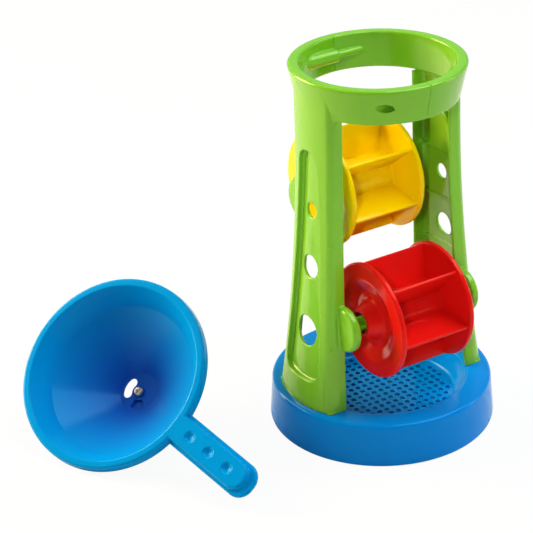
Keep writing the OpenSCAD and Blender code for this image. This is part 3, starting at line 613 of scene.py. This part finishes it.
def wheelDisc():
    bearingX = w["bossX"] - w["mouthDepth"]
    webX = bearingX - w["bearingLen"]
    tube = w["bearingR"] + w["bearingWall"]
    hubIn = w["hubR"] - w["hubWall"]
    dishX = w["halfW"] - w["dishDepth"]
    return turned([
        (0, webX - w["web"], 0), (tube, webX - w["web"], 0.5), (tube, discBack(w["hubR"]), 0.8),
        (hubIn, discBack(w["hubR"]), 0.8), (hubIn, 0, 0.3), (w["hubR"], 0, 0.35),
        (w["hubR"], discBack(w["hubR"]), 1.6),
        (w["r"], discBack(w["r"]), 1.2), (w["r"], w["halfW"], 2.0),
        (w["crease"], w["halfW"] - w["creaseDrop"], 9.0), (w["dishR"], dishX, 5.0),
        (w["bossRoot"], dishX + w["rootRise"], 4.6), (w["bossR"], w["bossX"], 0.9),
        (w["mouthR"], w["bossX"], 0.5), (w["mouthR"], bearingX + w["leadIn"], 0.4),
        (w["bearingR"], bearingX, 0.3), (w["bearingR"], webX, 0.3), (0, webX, 0)], closed=False, around=192)


def bladeMesh():
    near = w["hubR"] + w["bladeGap"]
    far = w["r"] - w["bladeInset"]
    deep = w["hubR"] - w["hubWall"] / 2
    gap = w["bladeGap"]
    sink = w["bladeSink"]
    outline = [(near, gap - discBack(near)), (far, gap - discBack(far)), (far, discBack(far) + sink),
        (deep, discBack(deep) + sink), (deep, gap), (near, gap)]
    bm = bmesh.new()
    ring = [bm.verts.new((x * mm, r * mm, -w["bladeT"] / 2 * mm)) for r, x in outline]
    face = bm.faces.new(ring)
    up = bmesh.ops.extrude_face_region(bm, geom=[face])
    topVerts = [v for v in up["geom"] if isinstance(v, bmesh.types.BMVert)]
    bmesh.ops.translate(bm, vec=(0, 0, w["bladeT"] * mm), verts=topVerts)
    bmesh.ops.recalc_face_normals(bm, faces=bm.faces)
    bevel = w["bladeRound"] * mm
    bmesh.ops.bevel(bm, geom=list(bm.edges), offset=bevel, segments=3, profile=0.5, affect="EDGES")
    me = bpy.data.meshes.new("blade")
    bm.to_mesh(me)
    bm.free()
    return me


def bladeTree():
    tree, start, end = treeWith("bladeFan", [
        ("Count", "NodeSocketInt", 6), ("Phase", "NodeSocketFloat", 0.0),
        ("Skin", "NodeSocketMaterial", None)])
    link = tree.links.new
    spots = nodeAt(tree, "GeometryNodePoints")
    link(start.outputs["Count"], spots.inputs["Count"])
    number = nodeAt(tree, "GeometryNodeInputIndex")
    stepAngle = nodeAt(tree, "ShaderNodeMath", operation="DIVIDE")
    stepAngle.inputs[0].default_value = 2 * math.pi
    link(start.outputs["Count"], stepAngle.inputs[1])
    turn = nodeAt(tree, "ShaderNodeMath", operation="MULTIPLY_ADD")
    link(number.outputs[0], turn.inputs[0])
    link(stepAngle.outputs[0], turn.inputs[1])
    link(start.outputs["Phase"], turn.inputs[2])
    spin = nodeAt(tree, "ShaderNodeCombineXYZ")
    link(turn.outputs[0], spin.inputs["X"])
    fan = nodeAt(tree, "GeometryNodeInstanceOnPoints")
    link(spots.outputs["Points"], fan.inputs["Points"])
    link(start.outputs["Geometry"], fan.inputs["Instance"])
    link(spin.outputs["Vector"], fan.inputs["Rotation"])
    real = nodeAt(tree, "GeometryNodeRealizeInstances")
    link(fan.outputs["Instances"], real.inputs["Geometry"])
    coat = nodeAt(tree, "GeometryNodeSetMaterial")
    link(real.outputs["Geometry"], coat.inputs["Geometry"])
    link(start.outputs["Skin"], coat.inputs["Material"])
    link(coat.outputs["Geometry"], end.inputs["Geometry"])
    return tree


fanTree = bladeTree()
alongX = Matrix(((0, 0, 1, 0), (1, 0, 0, 0), (0, 1, 0, 0), (0, 0, 0, 1)))  # lathe axis Z becomes X
hubIn = w["hubR"] - w["hubWall"]
wheels = (("upper_wheel", 19.4, sunYellow, "wheel_yellow"), ("lower_wheel", 8.7, signalRed, "wheel_red"))
for body, phase, skin, slotName in wheels:
    axis = Vector(joints[body + "_spin"]["pos_m"]) * 1000
    disc = wheelDisc()
    spigotR = hubIn - w["spigotGap"]
    spigotIn = spigotR - w["hubWall"]
    lapR, stepX = hubIn + w["spigotLap"], w["spigotStep"]
    spigot = turned([(spigotIn, -w["spigot"], 0.4), (spigotR, -w["spigot"], 0.6), (spigotR, stepX, 0.05),
        (lapR, stepX, 0.05), (lapR, w["spigot"], 0.4), (spigotIn, w["spigot"], 0.4)], around=96, arcSteps=4)
    rotor = placed(joined(disc, spigot), Matrix.Translation(axis) @ alongX)
    piece = meshPiece(body + "_rotor_disc", rotor[0] * mm, rotor[1], rotor[2])
    finished(piece, body, body + "_rotor", skin)
    cap = placed(disc, Matrix.Translation(axis) @ Matrix.Rotation(math.pi, 4, "Z") @ alongX)
    piece = meshPiece(body + "_cap_disc", cap[0] * mm, cap[1], cap[2])
    finished(piece, body, body + "_cap", skin)
    blades = bpy.data.objects.new(body + "_blades", bladeMesh())
    scene.collection.objects.link(blades)
    grown(blades, fanTree, {"Count": w["blades"], "Phase": math.radians(phase), "Skin": skin})
    blades.data.transform(Matrix.Translation(axis * mm))
    blades.data.polygons.foreach_set("use_smooth", np.ones(len(blades.data.polygons), bool))
    blades.data.set_sharp_from_angle(angle=math.radians(w["sharpAngle"]))
    finished(blades, body, None, skin)
    print(body, "made")


# funnel scoop

funnelSpec = dict(
    x=-199.0, y=83.75, heading=-151.7, handleTurn=68.8, r=72.6, rim=6.1, skirtH=8.0, skirtDraft=0.7, wall=2.4,
    shellLean=37.0, stepR=61.3, stepDepth=17.9, outletR=16.5, depth=51.8, floorT=2.0, spoutIn=24.65,
    spout=5.7, floorLap=0.3, plateLap=0.4, kidneyR=10.65, kidneyW=7.6, kidneyHalf=26.0, kidneyTurn=193.2,
    fanIn=6.9, fanOut=13.6, fanHalf=26.0, fanStep=112.0, fanRound=0.8, holeEdge=0.45, screwHole=2.06,
    tip=158.8, width=27.6, plateT=4.0, plateRound=1.7, padH=4.0, padRound=1.8, padFillet=1.4, padSink=1.0,
    border=3.1, padEnd=7.4, tipRound=12.4, root=76.3, dimpleR=4.55, dimpleDepth=2.2, dimpleEdge=0.5,
    # the next line also sets where the painted shade inside the bowl starts and its dark colour
    dimples=(91.9, 112.55, 133.2), plateStep=0.32, barStep=0.5, paintedShadeFrom=0.2, paintedShadeColour=(0.012, 0.11, 0.58),
    plateBox=((-18, -18, -55.2), (18, 18, -50.8)), barBox=((74.5, -15, -9), (160, 15, 0.9)))
q = funnelSpec
skirtR = q["r"] + q["rim"] + q["skirtDraft"]
spoutR = q["spoutIn"] + q["wall"]
spoutEnd = -q["depth"] - q["spout"]
tilt = math.atan((skirtR - spoutR) / (-spoutEnd - q["skirtH"]))
lie = (Matrix.Translation((q["x"], q["y"], skirtR * math.cos(tilt) + q["skirtH"] * math.sin(tilt)))
    @ Matrix.Rotation(math.radians(q["heading"]), 4, "Z") @ Matrix.Rotation(math.pi / 2 - tilt, 4, "Y")
    @ Matrix.Rotation(math.radians(q["handleTurn"]), 4, "Z"))


def paintBowlShade(mat, axis, rimAt, depth, colour):  # painted shade: the bowl's blue is darkened towards its outlet, where the deep bowl is in shade
    tree = mat.node_tree
    link = tree.links.new
    skin = tree.nodes["Principled BSDF"]
    plain = skin.inputs["Base Color"].links[0].from_socket
    place = nodeAt(tree, "ShaderNodeTexCoord")
    along = nodeAt(tree, "ShaderNodeVectorMath", operation="DOT_PRODUCT")
    along.inputs[1].default_value = axis
    link(place.outputs["Object"], along.inputs[0])
    share = nodeAt(tree, "ShaderNodeMapRange")
    share.inputs["From Min"].default_value = rimAt - q["paintedShadeFrom"] * depth
    share.inputs["From Max"].default_value = rimAt - depth
    link(along.outputs["Value"], share.inputs["Value"])
    tone = nodeAt(tree, "ShaderNodeMix", data_type="RGBA")
    tone.inputs["B"].default_value = (*colour, 1)
    link(share.outputs["Result"], tone.inputs["Factor"])
    link(plain, tone.inputs["A"])
    link(tone.outputs["Result"], skin.inputs["Base Color"])


bowlAxis = lie.to_3x3() @ Vector((0, 0, 1))
# painted shade: the funnel's blue darkens towards the outlet
paintBowlShade(skyBlue, bowlAxis, bowlAxis.dot(lie.translation) * mm, q["depth"] * mm, q["paintedShadeColour"])


def funnelBowl():
    lean = math.radians(q["shellLean"])
    sx, sz = q["wall"] * math.cos(lean), -q["wall"] * math.sin(lean)
    rimR = q["r"] + q["rim"]
    under = -q["depth"] - q["floorT"]
    neck = q["outletR"] + q["wall"]
    rise = (-q["stepDepth"] + sz - under) / (q["stepR"] + sx - neck)
    return turned([
        (q["outletR"] - q["floorLap"], under, 0.1), (neck, under, 1.2),
        (q["spoutIn"], under + rise * (q["spoutIn"] - neck), 1.0), (q["spoutIn"], spoutEnd, 0.6),
        (spoutR, spoutEnd, 0.8), (spoutR, under + rise * (spoutR - neck), 1.6),
        (q["stepR"] + sx, -q["stepDepth"] + sz, 3.0), (q["r"] + sx, -q["wall"], 0.8),
        (rimR - q["wall"], -q["wall"], 0.8), (skirtR - q["wall"], -q["skirtH"], 0.6),
        (skirtR, -q["skirtH"], 0.9),
        (rimR, 0, 2.4), (q["r"], 0, 1.6), (q["stepR"], -q["stepDepth"], 4.0),
        (q["outletR"], -q["depth"], 0.8), (q["outletR"] - q["floorLap"], -q["depth"], 0.1)], around=256)


def floorPlate(x, y, z):
    r = np.hypot(x, y)
    angle = np.degrees(np.arctan2(y, x))
    away = (angle - q["kidneyTurn"] + 540) % 360 - 180
    over = np.radians(np.maximum(np.abs(away) - q["kidneyHalf"], 0))
    toEnd = np.sqrt(np.maximum(r * r + q["kidneyR"] ** 2 - 2 * r * q["kidneyR"] * np.cos(over), 0))
    kidney = np.where(over > 0, toEnd, np.abs(r - q["kidneyR"])) - q["kidneyW"] / 2
    away = (angle - q["kidneyTurn"] - q["fanStep"] + 540) % 360 - 180
    sides = r * np.sin(np.radians(np.clip(np.abs(away) - q["fanHalf"], -90, 90)))
    fan = roundMax(np.maximum(q["fanIn"] - r, r - q["fanOut"]), sides, q["fanRound"])
    flat = np.abs(z + q["depth"] + q["floorT"] / 2) - q["floorT"] / 2
    plate = np.maximum(r - q["outletR"] - q["plateLap"], flat)
    for hole in (kidney, fan, r - q["screwHole"]):
        plate = roundMax(plate, -hole, q["holeEdge"])
    return plate


def handleBar(x, y, z):
    wide, long = np.abs(y) - q["width"] / 2, x - q["tip"]
    lowZ = -q["skirtH"]
    midZ = lowZ + q["plateT"]
    flat = np.abs(z - lowZ - q["plateT"] / 2) - q["plateT"] / 2
    plate = roundMax(roundMax(wide, long, q["tipRound"]), flat, q["plateRound"])
    pad = roundMax(wide + q["border"], long + q["padEnd"], q["tipRound"] - q["border"])
    pad = np.maximum(roundMax(pad, z - midZ - q["padH"], q["padRound"]), lowZ + q["padSink"] - z)
    bar = roundMin(plate, pad, q["padFillet"])
    ball = (q["dimpleR"] ** 2 + q["dimpleDepth"] ** 2) / (2 * q["dimpleDepth"])
    for at in q["dimples"]:
        deep = ball - np.sqrt((x - at) ** 2 + y * y + (z - midZ - q["padH"] - ball + q["dimpleDepth"]) ** 2)
        bar = roundMax(bar, deep, q["dimpleEdge"])
    return np.maximum(bar, q["root"] - np.hypot(x, y))


plate = skinOf(floorPlate, *q["plateBox"], q["plateStep"])
bar = skinOf(handleBar, *q["barBox"], q["barStep"])
part = placed(joined(funnelBowl(), plate, bar), lie)
piece = meshPiece("funnel_moulding", part[0] * mm, part[1], part[2])
finished(piece, "scoop", "funnel", skyBlue)
for name, skin in (("shutter", skyBlue), ("shutter_screw", zincSteel)):
    node = frame["nodes"][name]
    node.data.materials.clear()
    node.data.materials.append(skin)
print("funnel made")


# floor, light and camera

floorSpec = dict(half=4, colour=(0.82, 0.82, 0.82), rough=0.9, glow=0.94, inset=1.0)


def paleFloor():
    half = floorSpec["half"]
    corners = [(-half, -half, 0), (half, -half, 0), (half, half, 0), (-half, half, 0)]
    me = bpy.data.meshes.new("floor")
    me.from_pydata(corners, [], [(0, 1, 2, 3)])
    floor = bpy.data.objects.new("floor", me)
    scene.collection.objects.link(floor)
    mat = bpy.data.materials.new("paleFloor")
    mat.use_nodes = True
    tree = mat.node_tree
    skin = tree.nodes["Principled BSDF"]
    skin.inputs["Base Color"].default_value = (*floorSpec["colour"], 1)
    skin.inputs["Roughness"].default_value = floorSpec["rough"]
    glow = nodeAt(tree, "ShaderNodeEmission", Color=(1, 1, 1, 1), Strength=1.0)
    path = nodeAt(tree, "ShaderNodeLightPath")
    share = nodeAt(tree, "ShaderNodeMath", operation="MULTIPLY")
    share.inputs[1].default_value = floorSpec["glow"]
    place = nodeAt(tree, "ShaderNodeTexCoord")
    away = nodeAt(tree, "ShaderNodeVectorMath", operation="LENGTH")
    tree.links.new(place.outputs["Object"], away.inputs[0])
    clear = nodeAt(tree, "ShaderNodeMath", operation="GREATER_THAN")  # the ground under the base stays dark
    clear.inputs[1].default_value = (baseSpec["r"] - floorSpec["inset"]) * mm
    tree.links.new(away.outputs["Value"], clear.inputs[0])
    seen = nodeAt(tree, "ShaderNodeMath", operation="MULTIPLY")
    tree.links.new(path.outputs["Is Camera Ray"], seen.inputs[0])
    tree.links.new(clear.outputs[0], seen.inputs[1])
    tree.links.new(seen.outputs[0], share.inputs[0])
    mix = nodeAt(tree, "ShaderNodeMixShader")
    tree.links.new(share.outputs[0], mix.inputs["Fac"])
    tree.links.new(skin.outputs["BSDF"], mix.inputs[1])
    tree.links.new(glow.outputs["Emission"], mix.inputs[2])
    tree.links.new(mix.outputs["Shader"], tree.nodes["Material Output"].inputs["Surface"])
    floor.data.materials.append(mat)
    floor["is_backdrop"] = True


worldSpec = dict(tint=(0.7, 0.92, 1), behind=(0.51, 0.86, 0.0), fade=(-0.1, 0.8), strength=(0.12, 0.45))


def studioWorld():
    world = bpy.data.worlds.new("studio")
    scene.world = world
    world.use_nodes = True
    tree = world.node_tree
    tree.nodes.clear()
    link = tree.links.new
    end = nodeAt(tree, "ShaderNodeOutputWorld")
    seen = nodeAt(tree, "ShaderNodeBackground", Color=(1, 1, 1, 1), Strength=1.0)
    soft = nodeAt(tree, "ShaderNodeBackground", Color=(*worldSpec["tint"], 1))
    where = nodeAt(tree, "ShaderNodeTexCoord")
    behind = nodeAt(tree, "ShaderNodeVectorMath", operation="DOT_PRODUCT")
    behind.inputs[1].default_value = worldSpec["behind"]  # brighter behind the toy than in front of it
    link(where.outputs["Generated"], behind.inputs[0])
    fade = nodeAt(tree, "ShaderNodeMapRange", interpolation_type="SMOOTHSTEP")
    fade.inputs["From Min"].default_value, fade.inputs["From Max"].default_value = worldSpec["fade"]
    fade.inputs["To Min"].default_value, fade.inputs["To Max"].default_value = worldSpec["strength"]
    link(behind.outputs["Value"], fade.inputs["Value"])
    link(fade.outputs["Result"], soft.inputs["Strength"])
    path = nodeAt(tree, "ShaderNodeLightPath")
    mix = nodeAt(tree, "ShaderNodeMixShader")
    link(path.outputs["Is Camera Ray"], mix.inputs["Fac"])
    link(soft.outputs["Background"], mix.inputs[1])
    link(seen.outputs["Background"], mix.inputs[2])
    link(mix.outputs["Shader"], end.inputs["Surface"])


def softBox(name, place, aim, size, power, tint):
    lamp = bpy.data.lights.new(name, "AREA")
    lamp.shape = "RECTANGLE"
    lamp.size, lamp.size_y = size
    lamp.energy = power
    lamp.color = tint
    obj = bpy.data.objects.new(name, lamp)
    obj.location = place
    obj.rotation_euler = (Vector(aim) - Vector(place)).to_track_quat("-Z", "Y").to_euler()
    scene.collection.objects.link(obj)


def wheelFill(name, target, power):  # soft light into a wheel from the front
    f = fillSpec
    lamp = bpy.data.lights.new(name, "SPOT")
    lamp.energy = power
    lamp.color = f["tint"]
    lamp.spot_size = math.radians(f["cone"])
    lamp.spot_blend = f["blend"]
    lamp.shadow_soft_size = f["soft"]
    obj = bpy.data.objects.new(name, lamp)
    obj.location = target + Vector(f["away"])
    obj.rotation_euler = (target - obj.location).to_track_quat("-Z", "Y").to_euler()
    obj.visible_glossy = False
    scene.collection.objects.link(obj)


boxSpecs = (
    dict(name="leftBox", place=(-1.15, 1.39, 0.9), aim=(-0.1, 0, 0.12), size=(1.1, 1.3), power=66,
        tint=(1.0, 0.75, 0.5)),
    dict(name="rightBox", place=(0.68, -0.39, 1.9), aim=(-0.05, 0, 0.12), size=(1.4, 1.4), power=33,
        tint=(0.94, 1.0, 1.0)),
    dict(name="lowBox", place=(1.7, -0.75, 0.55), aim=(0, 0, 0.12), size=(0.5, 0.9), power=5,
        tint=(1.0, 1.0, 1.0)))
fillSpec = dict(
    shift=(0.025, 0, 0.005), away=(-0.97, -1.04, 0.75), cone=6.6, blend=1.0, soft=0.15, tint=(0.95, 1.0, 1.0),
    powers=(("upper_wheel", 115), ("lower_wheel", 66)))

paleFloor()
studioWorld()
for spec in boxSpecs:
    softBox(**spec)
for body, power in fillSpec["powers"]:
    axis = Vector(joints[body + "_spin"]["pos_m"])
    wheelFill(body + "Fill", axis + Vector(fillSpec["shift"]), power)

cameraSpec = dict(
    place=(-0.7493, -1.0821, 0.7982), right=(0.84800, -0.52862, -0.03780), up=(0.26815, 0.36647, 0.89095),
    forward=(0.45712, 0.76566, -0.45253), lens=127.23, sensor=36)
lens = bpy.data.cameras.new("photoCamera")
lens.sensor_width = cameraSpec["sensor"]
lens.lens = cameraSpec["lens"]
camera = bpy.data.objects.new("photoCamera", lens)
columns = [Vector(cameraSpec["right"]), Vector(cameraSpec["up"]), -Vector(cameraSpec["forward"])]
turnMatrix = Matrix(columns).transposed().to_4x4()
camera.matrix_world = Matrix.Translation(cameraSpec["place"]) @ turnMatrix
scene.collection.objects.link(camera)
scene.camera = camera
print("stage ready")

low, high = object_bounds()
